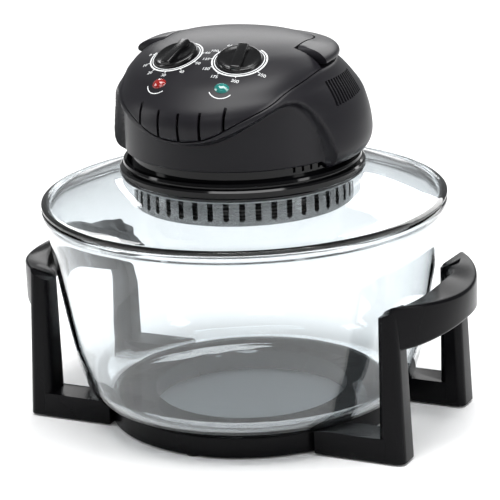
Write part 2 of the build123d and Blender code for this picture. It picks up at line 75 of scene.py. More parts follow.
def addCamera(spec):
    a, e, r = (radians(spec[key]) for key in ("azimuth", "elevation", "roll"))
    away = Vector((sin(a) * cos(e), -cos(a) * cos(e), sin(e)))
    level = Vector((cos(a), sin(a), 0))
    rise = away.cross(level)
    right = level * cos(r) + rise * sin(r)
    up = away.cross(right)
    place = Vector(spec["aim"]) + right * spec["right"] + up * spec["up"] + away * spec["distance"]
    data = bpy.data.cameras.new("camera")
    data.lens = spec["lens"]
    data.sensor_width = 36
    data.clip_end = 60
    obj = bpy.data.objects.new("camera", data)
    scene.collection.objects.link(obj)
    obj.matrix_world = Matrix.Translation(place) @ Matrix((right, up, away)).transposed().to_4x4()
    scene.camera = obj


addCamera(camera)

lights = {
    "topSoftbox": {"at": (0.15, -0.25, 1.7), "look": (0, 0, 0.1), "size": (1.3, 0.9), "power": 34},
    "leftStrip": {"at": (-1.6, -0.7, 0.8), "look": (0, 0, 0.2), "size": (0.35, 1.3), "power": 9},
    "rightStrip": {"at": (1.6, -0.2, 0.8), "look": (0, 0, 0.2), "size": (0.35, 1.3), "power": 9},
    "frontFill": {"at": (0.5, -2.2, 1.5), "look": (0, 0, 0.1), "size": (1.2, 0.6), "power": 8},
    "backSoftbox": {"at": (-0.3, 1.9, 1.3), "look": (0, 0, 0.1), "size": (2.4, 0.9), "power": 30},
}


def addLights(table):
    for name, spec in table.items():
        data = bpy.data.lights.new(name, "AREA")
        data.shape = "RECTANGLE"
        data.size, data.size_y = spec["size"]
        data.energy = spec["power"]
        obj = bpy.data.objects.new(name, data)
        scene.collection.objects.link(obj)
        obj.location = spec["at"]
        aim = Vector(spec["look"]) - Vector(spec["at"])
        obj.rotation_euler = aim.to_track_quat("-Z", "Y").to_euler()


addLights(lights)


def deselectAll():
    for obj in bpy.context.view_layer.objects:
        obj.select_set(False)
    bpy.context.view_layer.objects.active = None


deselectAll()


def makeActive(obj):
    deselectAll()
    obj.select_set(True)
    bpy.context.view_layer.objects.active = obj


def settle(obj):
    makeActive(obj)
    bpy.ops.object.transform_apply(location=True, rotation=True, scale=True)


def started(name):
    obj = bpy.context.object
    obj.name = name
    obj.data.name = name
    settle(obj)
    return obj


def useModifier(obj, kind, **settings):
    makeActive(obj)
    modifier = obj.modifiers.new(kind.lower(), kind)
    for key, value in settings.items():
        setattr(modifier, key, value)
    bpy.ops.object.modifier_apply(modifier=modifier.name)


def cleanMesh(obj, gap=0.02 * mm):
    makeActive(obj)
    bpy.ops.object.mode_set(mode="EDIT")
    bpy.ops.mesh.select_all(action="SELECT")
    bpy.ops.mesh.remove_doubles(threshold=gap)
    bpy.ops.mesh.normals_make_consistent(inside=False)
    bpy.ops.object.mode_set(mode="OBJECT")


def smooth(obj, angle=35):
    makeActive(obj)
    bpy.ops.object.shade_smooth_by_angle(angle=radians(angle))


def dress(obj, material, body=None, stands=()):
    obj.data.materials.clear()
    obj.data.materials.append(material)
    if body:
        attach(obj, body)
    if stands:
        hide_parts(*stands)
    return obj


def cut(obj, cutter):
    useModifier(obj, "BOOLEAN", operation="DIFFERENCE", object=cutter, solver="EXACT")
    bpy.data.objects.remove(cutter)


def joined(pieces, name):
    makeActive(pieces[0])
    for piece in pieces:
        piece.select_set(True)
    bpy.ops.object.join()
    obj = bpy.context.object
    obj.name = name
    obj.data.name = name
    return obj


def drawOut(x, y, z):
    bpy.ops.mesh.extrude_region_move(TRANSFORM_OT_translate={"value": (x * mm, y * mm, z * mm)})


def arc(x, z, radius, start, end, count):
    angles = [radians(start + (end - start) * i / count) for i in range(count + 1)]
    return [(x + radius * cos(a), z + radius * sin(a)) for a in angles]


def turned(name, outline, steps=144, close=True):
    # one vertex is drawn out along the outline, in mm, then spun round the upright axis
    x0, z0 = outline[0]
    bpy.ops.mesh.primitive_plane_add(size=mm, location=(x0 * mm, 0, z0 * mm))
    obj = started(name)
    bpy.ops.object.mode_set(mode="EDIT")
    bpy.ops.mesh.merge(type="CENTER")
    for (x1, z1), (x2, z2) in zip(outline, outline[1:]):
        drawOut(x2 - x1, 0, z2 - z1)
    if close:
        mesh = bmesh.from_edit_mesh(obj.data)
        mesh.verts.ensure_lookup_table()
        for vert in mesh.verts:
            vert.select_set(vert.index in (0, len(mesh.verts) - 1))
        bmesh.update_edit_mesh(obj.data)
        bpy.ops.mesh.edge_face_add()
    bpy.ops.mesh.select_all(action="SELECT")
    bpy.ops.mesh.spin(steps=steps, angle=2 * pi, center=(0, 0, 0), axis=(0, 0, 1))
    bpy.ops.object.mode_set(mode="OBJECT")
    cleanMesh(obj)
    return obj


def capEnds(obj):
    makeActive(obj)
    bpy.ops.object.mode_set(mode="EDIT")
    bpy.ops.mesh.select_all(action="SELECT")
    bpy.ops.mesh.fill_holes(sides=0)
    bpy.ops.mesh.normals_make_consistent(inside=False)
    bpy.ops.object.mode_set(mode="OBJECT")


def draped(name, points):
    # a grid whose columns and rows take the given places, in mm
    rows, columns = points.shape[:2]
    bpy.ops.mesh.primitive_grid_add(x_subdivisions=columns - 1, y_subdivisions=rows - 1, size=1)
    obj = started(name)
    obj.data.vertices.foreach_set("co", (points.reshape(-1) * mm).astype(np.float32))
    obj.data.update()
    cleanMesh(obj)
    return obj


def colour(text):
    channels = [int(text[i:i + 2], 16) / 255 for i in (1, 3, 5)]
    return [c / 12.92 if c <= 0.04045 else ((c + 0.055) / 1.055) ** 2.4 for c in channels] + [1]


def addNode(tree, kind, settings=None, inputs=None):
    node = tree.nodes.new(kind)
    for key, value in (settings or {}).items():
        setattr(node, key, value)
    for key, value in (inputs or {}).items():
        if isinstance(value, bpy.types.NodeSocket):
            tree.links.new(value, node.inputs[key])
        else:
            node.inputs[key].default_value = value
    return node


def newMaterial(name, **sockets):
    material = bpy.data.materials.new(name)
    material.use_nodes = True
    tree = material.node_tree
    shader = tree.nodes["Principled BSDF"]
    for key, value in sockets.items():
        shader.inputs[key.replace("_", " ")].default_value = value
    place = addNode(tree, "ShaderNodeTexCoord").outputs["Object"]
    return material, tree, shader, place


def speckled(tree, shader, place, dark, light, grain, depth, rough):
    # grain in mm: roughness and a small relief follow one fine noise, the tone a broader one
    noise = addNode(tree, "ShaderNodeTexNoise", None,
                    {"Vector": place, "Scale": 1 / (grain * mm), "Detail": 3.0})
    broad = addNode(tree, "ShaderNodeTexNoise", None, {"Vector": place, "Scale": 18.0, "Detail": 2.0})
    tone = addNode(tree, "ShaderNodeMix", {"data_type": "RGBA"},
                   {"Factor": broad.outputs["Fac"], "A": colour(dark), "B": colour(light)})
    tree.links.new(tone.outputs["Result"], shader.inputs["Base Color"])
    sheen = addNode(tree, "ShaderNodeMapRange", None,
                    {"Value": noise.outputs["Fac"], "To Min": rough[0], "To Max": rough[1]})
    tree.links.new(sheen.outputs["Result"], shader.inputs["Roughness"])
    relief = addNode(tree, "ShaderNodeBump", None,
                     {"Height": noise.outputs["Fac"], "Strength": 0.35, "Distance": depth * mm})
    tree.links.new(relief.outputs["Normal"], shader.inputs["Normal"])


def makeMaterials():
    made = {}

    # ABS from a spark-eroded mould: the fine grain spreads the highlight into a grey sheen
    material, tree, shader, place = newMaterial("matt moulded ABS, charcoal",
                                                IOR=1.53, Specular_IOR_Level=0.2)
    speckled(tree, shader, place, "#151418", "#1a191d", 0.7, 0.04, (0.33, 0.45))
    made["shell"] = material

    # ABS, satin mould: smoother than the head, with a low soft sheen
    material, tree, shader, place = newMaterial("satin moulded ABS, black",
                                                IOR=1.53, Specular_IOR_Level=0.08)
    speckled(tree, shader, place, "#08080a", "#0b0b0d", 0.9, 0.03, (0.2, 0.3))
    made["stand"] = material

    # ABS, polished mould: near mirror gloss with faint flow waviness
    material, tree, shader, place = newMaterial("polished ABS, black", IOR=1.53, Specular_IOR_Level=0.22)
    speckled(tree, shader, place, "#050506", "#08080a", 9.0, 0.03, (0.07, 0.13))
    made["gloss"] = material

    # phenolic knob: deep black, polished, with fine handling haze
    material, tree, shader, place = newMaterial("polished phenolic, black",
                                                IOR=1.6, Specular_IOR_Level=0.3)
    speckled(tree, shader, place, "#060607", "#0a0a0b", 3.0, 0.02, (0.12, 0.22))
    made["knob"] = material

    # pressed soda-lime glass: clear, with a slight cool tint in its thickness and shallow pressing waves
    material, tree, shader, place = newMaterial("pressed soda-lime glass", IOR=1.5, Roughness=0.0)
    shader.inputs["Transmission Weight"].default_value = 1.0
    shader.inputs["Base Color"].default_value = colour("#ebeff1")
    wave = addNode(tree, "ShaderNodeTexNoise", None, {"Vector": place, "Scale": 26.0, "Detail": 1.0})
    relief = addNode(tree, "ShaderNodeBump", None,
                     {"Height": wave.outputs["Fac"], "Strength": 0.08, "Distance": 0.4 * mm})
    tree.links.new(relief.outputs["Normal"], shader.inputs["Normal"])
    made["glass"] = material

    # stainless sheet brushed round the drum: fine level scratches, 0.25 mm apart
    material, tree, shader, place = newMaterial("brushed stainless steel", Metallic=1.0)
    stretch = addNode(tree, "ShaderNodeMapping", None, {"Vector": place, "Scale": (30.0, 30.0, 4000.0)})
    brush = addNode(tree, "ShaderNodeTexNoise", None,
                    {"Vector": stretch.outputs["Vector"], "Scale": 1.0, "Detail": 4.0})
    tone = addNode(tree, "ShaderNodeMix", {"data_type": "RGBA"},
                   {"Factor": brush.outputs["Fac"], "A": colour("#68696b"), "B": colour("#a3a3a2")})
    tree.links.new(tone.outputs["Result"], shader.inputs["Base Color"])
    sheen = addNode(tree, "ShaderNodeMapRange", None,
                    {"Value": brush.outputs["Fac"], "To Min": 0.17, "To Max": 0.28})
    tree.links.new(sheen.outputs["Result"], shader.inputs["Roughness"])
    relief = addNode(tree, "ShaderNodeBump", None,
                     {"Height": brush.outputs["Fac"], "Strength": 0.25, "Distance": 0.03 * mm})
    tree.links.new(relief.outputs["Normal"], shader.inputs["Normal"])
    made["steel"] = material

    # plain finishes of the works: name, dark and light tone, grain and relief in mm, roughness, metallic
    plain = {
        "darkSteel": ("heat-blackened steel", "#1d1c1c", "#2b2927", 0.8, 0.02, (0.4, 0.6), 0.7),
        "zinc": ("zinc plated steel", "#9a9c9e", "#bcbdbb", 1.5, 0.01, (0.3, 0.45), 1.0),
        "iron": ("varnished iron laminations", "#4a4d52", "#5c6066", 0.5, 0.02, (0.35, 0.5), 0.9),
        "aluminium": ("bright rolled aluminium", "#c3c5c6", "#dadbdb", 1.2, 0.01, (0.2, 0.32), 1.0),
        "board": ("pressed fibre board", "#b8ae97", "#cbc2ac", 0.6, 0.05, (0.7, 0.85), 0.0),
        "ceramic": ("steatite ceramic", "#dcd8cd", "#e8e5dc", 1.0, 0.01, (0.25, 0.35), 0.0),
        "bronze": ("sintered bronze", "#8f6a3c", "#a67d4a", 0.3, 0.02, (0.35, 0.5), 1.0),
        "copper": ("enamelled copper wire", "#7a3b20", "#9c5530", 0.4, 0.04, (0.25, 0.4), 0.9),
        "controls": ("moulded nylon, pale grey", "#8d8c86", "#9c9b95", 0.8, 0.02, (0.4, 0.55), 0.0),
        "rubber": ("moulded rubber, black", "#151515", "#1d1d1d", 0.8, 0.03, (0.6, 0.8), 0.0),
        "silicone": ("moulded silicone, grey", "#3a3a3c", "#474749", 0.8, 0.02, (0.5, 0.6), 0.0),
        "ink": ("screen printed ink, white", "#cfd1d2", "#dee0e0", 0.5, 0.01, (0.45, 0.6), 0.0),
    }
    for key, (name, dark, light, grain, depth, rough, metal) in plain.items():
        material, tree, shader, place = newMaterial(name, Metallic=metal)
        speckled(tree, shader, place, dark, light, grain, depth, rough)
        made[key] = material

    # tinted polycarbonate lenses: clear, glossy, their colour varying at random between a deep and a
    # light tone
    for key, name, dark, light in (("red", "tinted polycarbonate, red", "#5a0503", "#b5170d"),
                                   ("teal", "tinted polycarbonate, blue-green", "#064a45", "#1f8f86")):
        material, tree, shader, place = newMaterial(name, IOR=1.58)
        speckled(tree, shader, place, dark, light, 2.0, 0.03, (0.05, 0.12))
        shader.inputs["Transmission Weight"].default_value = 0.1
        shader.inputs["Coat Weight"].default_value = 0.6
        made[key] = material

    # fused quartz tube of the ring lamp
    material, tree, shader, place = newMaterial("fused quartz", IOR=1.46)
    speckled(tree, shader, place, "#e9e4d8", "#f7f3ea", 6.0, 0.02, (0.02, 0.08))
    shader.inputs["Transmission Weight"].default_value = 0.9
    made["quartz"] = material

    # matt paper sweep, faint fibre
    material, tree, shader, place = newMaterial("matt paper sweep")
    speckled(tree, shader, place, "#fbfbfb", "#ffffff", 4.0, 0.01, (0.85, 0.95))
    made["sweep"] = material
    return made


finish = makeMaterials()
cadFinish = {
    "rubber": ["rubber_feet", "cord_gland"],
    "zinc": ["stand_screws", "clamp_ring", "handle_pins", "motor_bracket", "bracket_screws",
             "housing_screws", "motor_shaft"],
    "silicone": ["lid_gasket"],
    "steel": ["heat_guard", "guard_grille"],
    "darkSteel": ["louvre_stack"],
    "aluminium": ["reflector_plate", "hot_air_fan", "cooling_fan"],
    "board": ["insulation_plate"],
    "quartz": ["halogen_lamp", "neon_lamps"],
    "ceramic": ["lamp_holders"],
    "bronze": ["shaft_bushing"],
    "controls": ["timer_body", "thermostat_body", "terminal_block", "thermal_cutout", "safety_switch"],
    "iron": ["motor_core", "motor_rotor"],
    "copper": ["motor_coil"],
    "knob": ["switch_plunger", "timer_knob", "thermostat_knob"],
    "stand": ["base_ring", "leg_front_left", "leg_front_right", "leg_rear_left", "leg_rear_right",
              "side_grip_left", "side_grip_right"],
    "gloss": ["head_base", "vent_collar"],
    "shell": ["top_cover", "upper_housing", "carry_handle"],
    "red": ["red_lens"],
    "teal": ["green_lens"],
    "glass": ["glass_bowl", "glass_lid"],
}
for key, nodeNames in cadFinish.items():
    for nodeName in nodeNames:
        nodes[nodeName].data.materials.clear()
        nodes[nodeName].data.materials.append(finish[key])
print("materials: made", len(finish))


stage = {"floor": 14.0, "sky": "#f4f6f8", "skyStrength": 0.3}


def addStage():
    bpy.ops.mesh.primitive_plane_add(size=stage["floor"], location=(0, 0, 0))
    floor = started("floor")
    floor.data.materials.append(finish["sweep"])
    world = bpy.data.worlds.new("studio")
    scene.world = world
    world.use_nodes = True
    sky = world.node_tree.nodes["Background"]
    sky.inputs["Color"].default_value = colour(stage["sky"])
    sky.inputs["Strength"].default_value = stage["skyStrength"]


addStage()
print("stage: floor, world, lights and camera")


bowl = {
    "base": 19.0, "flat": 111.0, "corner": 28.0, "wall": 4.0,
    "side": [(142.6, 55), (147.0, 74), (151.2, 100), (155.2, 127), (159.8, 158), (161.2, 171)],
    "rim": 165.0, "steps": 180,
}


def bowlOutline(spec):
    z, flat, corner, wall = spec["base"], spec["flat"], spec["corner"], spec["wall"]
    outside = [(0.01, z)] + arc(flat, z + corner, corner, -90, -8, 10) + spec["side"]
    lip = [(161.4, 172.2), (161.9, 176), (162.9, 177.6), (164.4, 178.6), (spec["rim"], 180.2),
           (164.8, 182), (163.6, 183.1), (161.5, 183.3), (158.6, 183.2), (157.6, 182.4), (157.3, 180)]
    inside = [(x - wall, y + 0.3) for x, y in reversed(spec["side"])]
    inside += arc(flat, z + corner + 0.6, corner - wall, -8, -90, 10) + [(0.01, z + wall + 0.6)]
    return outside + lip + inside


glassBowl = turned("glassBowl", bowlOutline(bowl), bowl["steps"], close=False)
smooth(glassBowl, 40)
dress(glassBowl, finish["glass"], "bowl", ["glass_bowl"])

lid = {"rim": 165.0, "low": 183.6, "hole": 90.5, "top": 207.4, "wall": 4.0, "steps": 180}


def lidOutline(spec):
    hole, top, wall = spec["hole"], spec["top"], spec["wall"]
    crown = [(156, 188.2), (148, 191.2), (138, 195.2), (128, 198.9), (118, 202.1), (108, 204.8),
             (98, 206.7), (hole + 1, top)]
    over = [(163.6, 187.4), (161, 187.9)] + crown + [(hole, top - 0.6)]
    under = [(hole, top - wall + 0.6), (hole + 1, top - wall)]
    under += [(x - 0.8, z - wall) for x, z in reversed(crown[:-1])]
    low = spec["low"]
    foot = [(156.6, low + 0.3), (157.6, low), (162.5, low), (164.3, low + 0.5), (spec["rim"], low + 1.7),
            (164.8, low + 3)]
    return over + under + foot


glassLid = turned("glassLid", lidOutline(lid), lid["steps"])
smooth(glassLid, 40)
dress(glassLid, finish["glass"], "head", ["glass_lid"])
print("glass: bowl and lid")


head = {
    # height, half width, reach to the front, reach to the rear
    "levels": [(221.6, 91, 91, 91), (226.5, 100, 100, 101), (232, 103.5, 104.5, 107),
               (239, 104, 107, 112), (251, 102, 110, 114.5), (262, 99, 112.5, 114), (270, 96, 113, 112),
               (279, 91.5, 110, 104), (289, 85.5, 99.5, 92), (297, 81.5, 89, 78), (304, 77, 75.5, 67),
               (310.8, 68, 60, 57), (317, 51, 38, 41), (320.2, 27, 17, 20), (321.1, 0, 0, 0)],
    # the front corners stand fuller than an ellipse, by this share of the radius at these heights
    "shoulder": {"swell": 0.05, "levels": (265, 285, 312, 320), "weights": (0, 1, 1, 0)},
    # crease between the panel cover and the housing, and the arch under it, as reach and height
    "crease": [(-114, 255.5), (-111, 257.5), (-104, 268), (-96, 275), (-84.5, 281), (-63, 290),
               (-40, 295.6), (-24, 298.1), (-14, 298.5), (60, 298.5), (130, 298.5)],
    "arch": [(-118, 249), (-111.5, 254.5), (-101, 266), (-88, 276), (-77, 281.5), (-68, 283), (-60, 281),
             (-51, 273), (-42, 259), (-36, 244), (-33, 230), (-31, 215)],
    "frontBody": 94.0,  # radius of the round body under the arch
    "frontLow": 229.0,  # and the height of its foot
    "frontBlend": (-30.0, 10.0),  # the foot steps up from here forwards, over this length
    "ridge": 5.5,  # width of the rounded step from the wings down to the front body
    "ridgeShare": 0.12,  # how far down that step is where it starts
    "archBefore": -20.0,
    "wall": 2.4,
    "columns": 288,
    "skinRows": 90,
    "coverRows": 64,
    "housingRows": 60,
    "seamGap": 0.5,
    "rebateFloor": 298.5,
    "rebateFront": -18.5,
    "turret": 57.0,
    "turretRear": (12.0, 46.0),
}


def flowing(rows, steps=12):
    # a smooth curve through all the rows
    rows = np.array(rows, float)
    spread = np.sqrt(np.linalg.norm(np.diff(rows, axis=0), axis=1))
    t = np.concatenate([[0], np.cumsum(spread)])
    grown = np.vstack([2 * rows[0] - rows[1], rows, 2 * rows[-1] - rows[-2]])
    times = np.concatenate([[-t[1]], t, [2 * t[-1] - t[-2]]])
    curve = []
    for k in range(len(rows) - 1):
        span = t[k + 1] - t[k]
        begin = (grown[k + 2] - grown[k]) / (times[k + 2] - times[k]) * span
        end = (grown[k + 3] - grown[k + 1]) / (times[k + 3] - times[k + 1]) * span
        for u in np.linspace(0, 1, steps, endpoint=False):
            curve.append((2 * u**3 - 3 * u**2 + 1) * rows[k] + (u**3 - 2 * u**2 + u) * begin
                         + (3 * u**2 - 2 * u**3) * rows[k + 1] + (u**3 - u**2) * end)
    curve.append(rows[-1])
    return np.array(curve)


formTable = flowing(head["levels"])
creaseLine = flowing(head["crease"], 10)
archLine = flowing(head["arch"], 10)


def meridian(angle, grow=0.0):
    # the skin's line above one plan direction, as radius and height
    z, half, front, rear = formTable[:-1].T
    middle = (rear - front) / 2
    reach = (rear + front) / 2
    a = (cos(angle) / half) ** 2 + (sin(angle) / reach) ** 2
    b = -2 * middle * sin(angle) / reach**2
    c = (middle / reach) ** 2 - 1
    radius = (-b + np.sqrt(b * b - 4 * a * c)) / (2 * a)
    if sin(angle) < 0:
        swell = np.interp(z, head["shoulder"]["levels"], head["shoulder"]["weights"])
        radius = radius * (1 + head["shoulder"]["swell"] * swell * sin(2 * angle) ** 2)
    line = np.vstack([np.stack([radius, z], 1), [0.0, formTable[-1][0]]])
    if grow:
        slope = np.gradient(line, axis=0)
        normal = np.stack([slope[:, 1], -slope[:, 0]], 1)
        line = line + grow * normal / np.linalg.norm(normal, axis=1)[:, None]
        line[-1, 0] = 0.0
        line[:, 0] = np.maximum(line[:, 0], 0.0)
    return line


def resampled(line, count):
    length = np.concatenate([[0], np.cumsum(np.linalg.norm(np.diff(line, axis=0), axis=1))])
    at = np.linspace(0, length[-1], count)
    return np.stack([np.interp(at, length, line[:, k]) for k in (0, 1)], 1)


def partOf(line, low, high):
    # the part of a meridian between two heights
    keep = [p for p in line if low < p[1] < high]
    ends = [(np.interp(z, line[:, 1], line[:, 0]), z) for z in (low, high)]
    return np.array([ends[0]] + keep + [ends[1]])


def creaseHeight(angle, line):
    over = line[:, 1] - np.interp(line[:, 0] * sin(angle), creaseLine[:, 0], creaseLine[:, 1])
    k = int(np.argmax(over > 0))
    u = over[k - 1] / (over[k - 1] - over[k])
    return line[k - 1, 1] + u * (line[k, 1] - line[k - 1, 1])


def insideArch(reach, height):
    # distance in under the arch, seen from the side
    gaps = np.hypot(archLine[:, 0] - reach, archLine[:, 1] - height)
    k = int(np.argmin(gaps))
    k = min(max(k, 1), len(archLine) - 2)
    run = archLine[k + 1] - archLine[k - 1]
    side = run[0] * (height - archLine[k, 1]) - run[1] * (reach - archLine[k, 0])
    return -gaps.min() if side > 0 else gaps.min()


def eased(u):
    u = min(max(u, 0.0), 1.0)
    return u * u * (3 - 2 * u)


def turretRadius(angle, grow=0.0):
    half = head["turret"] + grow
    middle, reach = head["turretRear"]
    radius = half / max(abs(cos(angle)), 1e-6)
    if radius * sin(angle) > middle:
        reach += grow
        a = (cos(angle) / half) ** 2 + (sin(angle) / reach) ** 2
        b = -2 * middle * sin(angle) / reach**2
        c = (middle / reach) ** 2 - 1
        radius = (-b + sqrt(b * b - 4 * a * c)) / (2 * a)
    return radius


def columnAngles(count):
    return [-pi / 2 + 2 * pi * i / count for i in range(count + 1)]


def spun(columns, angles):
    # columns of radius and height become rows of places
    grid = [[(r * cos(a), r * sin(a), z) for r, z in column] for column, a in zip(columns, angles)]
    return np.array(grid).transpose(1, 0, 2)


def formBlock(name, grow, lift, capHeight):
    # closed solid under the skin, its foot along the crease
    columns = []
    angles = columnAngles(head["columns"])
    for angle in angles:
        line = meridian(angle, grow)
        foot = creaseHeight(angle, meridian(angle)) + lift
        if grow == 0:
            edge = resampled(partOf(line, foot + 1.3, line[-1, 1] - 0.01), head["coverRows"])
            r0 = np.interp(foot, line[:, 1], line[:, 0])
            turnedIn = [(0.0, capHeight), (r0 - 3, foot), (r0 - 1.2, foot), (r0 - 0.5, foot + 0.25),
                      (r0 - 0.15, foot + 0.7)]
        else:
            edge = resampled(partOf(line, foot, line[-1, 1] - 0.01), head["coverRows"])
            turnedIn = [(0.0, capHeight)]
        columns.append(np.vstack([turnedIn, edge, [(0.0, line[-1, 1])]]))
    return draped(name, spun(columns, angles))


def prism(name, outline, low, high):
    # upright prism from a plan outline, in mm
    bpy.ops.mesh.primitive_plane_add(size=mm)
    obj = started(name)
    bpy.ops.object.mode_set(mode="EDIT")
    bpy.ops.mesh.merge(type="CENTER")
    start = outline[0]
    bpy.ops.transform.translate(value=(start[0] * mm, start[1] * mm, low * mm))
    for (x1, y1), (x2, y2) in zip(outline, outline[1:]):
        drawOut(x2 - x1, y2 - y1, 0)
    bpy.ops.mesh.select_all(action="SELECT")
    bpy.ops.mesh.edge_face_add()
    drawOut(0, 0, high - low)
    bpy.ops.object.mode_set(mode="OBJECT")
    cleanMesh(obj)
    return obj


def rebateOutline(inset):
    half = head["turret"] - inset
    front = head["rebateFront"] - inset
    middle, reach = head["turretRear"]
    around = [radians(a) for a in range(180, -1, -5)]
    rear = [(half * cos(a), middle + (reach - inset) * sin(a)) for a in around]
    return [(half, front), (150, front), (150, 150), (-150, 150), (-150, front), (-half, front)] + rear


def makeCover():
    cover = formBlock("panelCover", 0, head["seamGap"], 270)
    cut(cover, prism("rebate", rebateOutline(0), head["rebateFloor"] - 1, 360))
    hollow = formBlock("hollow", -head["wall"], -4, 262)
    cut(hollow, prism("rebateInner", rebateOutline(head["wall"]), 280, 360))
    cut(cover, hollow)
    return cover


def housingColumn(angle):
    skin = meridian(angle)
    top = creaseHeight(angle, skin)
    reach = np.interp(top, skin[:, 1], skin[:, 0]) * sin(angle)
    begin, blend = head["frontBlend"]
    inFront = eased((begin - 100 * sin(angle)) / blend)
    base = head["levels"][0][0]
    low = base + (head["frontLow"] - base) * inFront
    line = partOf(skin, low, top)
    shaped = []
    for r, z in resampled(line, head["skinRows"]):
        depth = 0
        if r * sin(angle) < head["archBefore"]:
            depth = eased(insideArch(r * sin(angle), z) / head["ridge"] + head["ridgeShare"])
        if r > head["frontBody"] or depth > 0.5:
            r += (head["frontBody"] - r) * depth
        shaped.append((r, z))
    line = resampled(np.array(shaped), head["housingRows"])
    r, z = line[-1]
    inner = r - 5 if reach < head["rebateFront"] else turretRadius(angle, 0.2)
    line[-1] = (r - 0.15, z - 0.35)
    lip = [(r - 0.6, z), (r - 1.6, z), (r - 2.6, z)]
    lip += [(r - 2.6 + (inner - r + 2.6) * u, z) for u in (0.35, 0.7, 1.0)]
    foot = [(line[0][0] - 2.2, line[0][1] + 0.1), (line[0][0] - 0.9, line[0][1])]
    line[0] = (line[0][0] - 0.2, line[0][1] + 0.5)
    return np.vstack([foot, line, lip])


def makeHousing():
    angles = columnAngles(head["columns"])
    shell = draped("housing", spun([housingColumn(a) for a in angles], angles))
    useModifier(shell, "SOLIDIFY", thickness=head["wall"] * mm, offset=-1, use_even_offset=False)
    return shell


def box(name, low, high):
    # block between two corners, in mm
    middle = [(a + b) / 2 * mm for a, b in zip(low, high)]
    sides = [(b - a) * mm for a, b in zip(low, high)]
    bpy.ops.mesh.primitive_cube_add(size=1, location=middle, scale=sides)
    return started(name)


noseSlits = {
    "half": 1.15, "deep": 24.0, "low": 250.0, "edge": 0.6,
    # place across, how far forward the floor of the slit lies, and height of its top
    "places": [(-35.5, -99.0, 289.5), (-17.5, -106.0, 280.6), (0, -107.5, 279.4), (17.5, -106.0, 280.6),
               (35.5, -99.0, 289.5)],
}
louvres = {"count": 12, "first": -21.0, "pitch": 4.6, "half": 1.45, "low": 270.5, "high": 290.0,
           "rise": 0.06, "fall": 0.15}


def cutSlits(shell):
    blades = []
    for x, reach, top in noseSlits["places"]:
        low = (x - noseSlits["half"], reach - noseSlits["deep"], noseSlits["low"])
        blade = box("blade", low, (x + noseSlits["half"], reach, top))
        useModifier(blade, "BEVEL", width=noseSlits["edge"] * mm, segments=3)
        blades.append(blade)
    cut(shell, joined(blades, "blades"))


def cutLouvres(shell):
    blades = []
    for i in range(louvres["count"]):
        y = louvres["first"] + louvres["pitch"] * i
        low = (-130, y - louvres["half"], louvres["low"] + louvres["rise"] * i)
        high = (130, y + louvres["half"], louvres["high"] - louvres["fall"] * i)
        blades.append(box("blade", low, high))
    cut(shell, joined(blades, "blades"))


handle = {
    "low": 301.4, "clear": 1.0, "proud": 2.2, "pivot": (-8.0, 307.5), "endRadius": 7.5, "pin": 3.05,
    "sweep": (-17, 197), "steps": 150,
    # outer side of the section: inwards from the outermost face, and height
    "section": [(5.0, 301.4), (1.6, 301.7), (0.3, 302.6), (0.0, 304.2), (0.5, 306.6), (2.1, 309.0),
                (4.8, 311.2), (8.6, 313.0), (13.4, 314.3)],
    "sectionWide": 21.0, "sectionTall": 14.7, "mostTall": 1.05, "crown": 0.6,
}


def makeHandle():
    rows = []
    first, last = (radians(a) for a in handle["sweep"])
    side = flowing(handle["section"], 3)
    low = handle["low"]
    for i in range(handle["steps"] + 1):
        angle = first + (last - first) * i / handle["steps"]
        skin = meridian(angle)
        inner = turretRadius(angle, handle["clear"])
        outer = np.interp(head["rebateFloor"], skin[:, 1], skin[:, 0]) + handle["proud"]
        top = np.interp(-inner, -skin[:, 0], skin[:, 1]) + handle["crown"]
        fit = min((top - low) / handle["sectionTall"], handle["mostTall"])
        spread = (outer - inner) / handle["sectionWide"]
        tall = [(outer - inwards * spread, low + (z - low) * fit) for inwards, z in side]
        tall += [(inner + 1.2, top - 0.1), (inner + 0.3, top - 0.4), (inner, top - 1.2)]
        loop = [(inner, low)] + tall + [(inner, (top + low) / 2), (inner, low)]
        rows.append([(r * cos(angle), r * sin(angle), z) for r, z in loop])
    bar = draped("carryHandle", np.array(rows))
    capEnds(bar)
    y, z = handle["pivot"]
    radius = handle["endRadius"]
    turn = arc(y, z, radius, 270, 90, 24)
    # only what lies behind the two round front ends is kept
    keep = prism("keep", turn + [(150, z + radius + 6), (150, z - radius)], -120, 120)
    keep.data.transform(Matrix(((0, 0, 1, 0), (1, 0, 0, 0), (0, 1, 0, 0), (0, 0, 0, 1))))
    useModifier(bar, "BOOLEAN", operation="INTERSECT", object=keep, solver="EXACT")
    bpy.data.objects.remove(keep)
    boreLength = 2 * (head["turret"] + 9) * mm
    bpy.ops.mesh.primitive_cylinder_add(vertices=48, radius=handle["pin"] * mm, depth=boreLength,
                                        location=(0, y * mm, z * mm), rotation=(0, pi / 2, 0))
    cut(bar, started("bore"))
    return bar


cover = makeCover()
cutSlits(cover)
smooth(cover, 32)
dress(cover, finish["shell"], "head", ["top_cover"])
housing = makeHousing()
cutLouvres(housing)
smooth(housing, 38)
dress(housing, finish["shell"], "head", ["upper_housing"])
bail = makeHandle()
smooth(bail, 38)
dress(bail, finish["shell"], "handle", ["carry_handle"])
print("head:", {obj.name: len(obj.data.polygons) for obj in (cover, housing, bail)})


knobs = {
    "timer": {"side": -1, "lean": 83, "node": "timer_knob", "piece": "timerKnob"},
    "thermostat": {"side": 1, "lean": 100, "node": "thermostat_knob", "piece": "thermostatKnob"},
}
knobShape = {
    "at": (27.3, -55.0, 310.6), "tiltBack": 21.0, "tiltSide": 8.5, "lift": 0.4, "radius": 18.0,
    "bar": (34.0, 9.2, 4.5), "barFoot": 0.8, "barCorner": 3.9, "barEdge": 1.3,
    "narrowAbove": 3.0, "waist": (0.78, 0.1), "shorter": 0.955,
}


